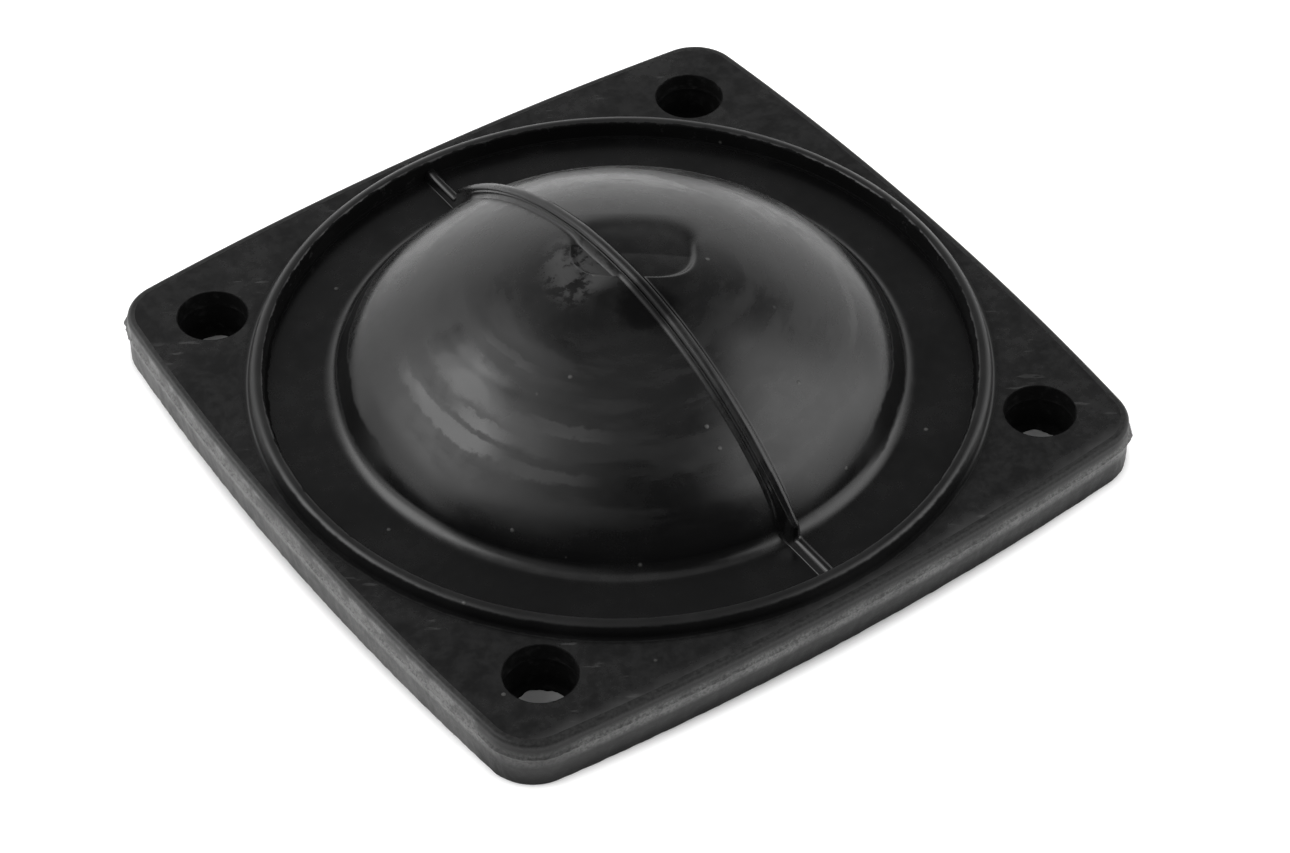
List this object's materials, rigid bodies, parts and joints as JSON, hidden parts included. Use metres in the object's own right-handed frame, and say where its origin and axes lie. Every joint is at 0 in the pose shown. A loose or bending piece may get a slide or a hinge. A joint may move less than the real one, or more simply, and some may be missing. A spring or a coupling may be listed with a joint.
{
  "type": "valve diaphragm",
  "caption": "Square black rubber diaphragm for a weir valve: bowed bolting flange, sealing ring, domed membrane with a sealing bead, and a threaded stud moulded in behind the dome.",
  "frame": {"origin": "centre of the flange's flat back face, on the floor it lies on", "axes": "+Z from the back face to the domed, wetted side; +Y along the sealing bead; X and Y square to the sides of the flange"},
  "size_m": [0.0726, 0.0726, 0.0183],
  "materials": {
    "rubber": "semi-gloss moulded black rubber, lightly smeared and dusty, with rough flash at the parting line",
    "steel": "plain zinc-plated steel"
  },
  "bodies": {
    "root": {"diaphragm": "rubber", "stud": "steel"}
  },
  "joints": []
}
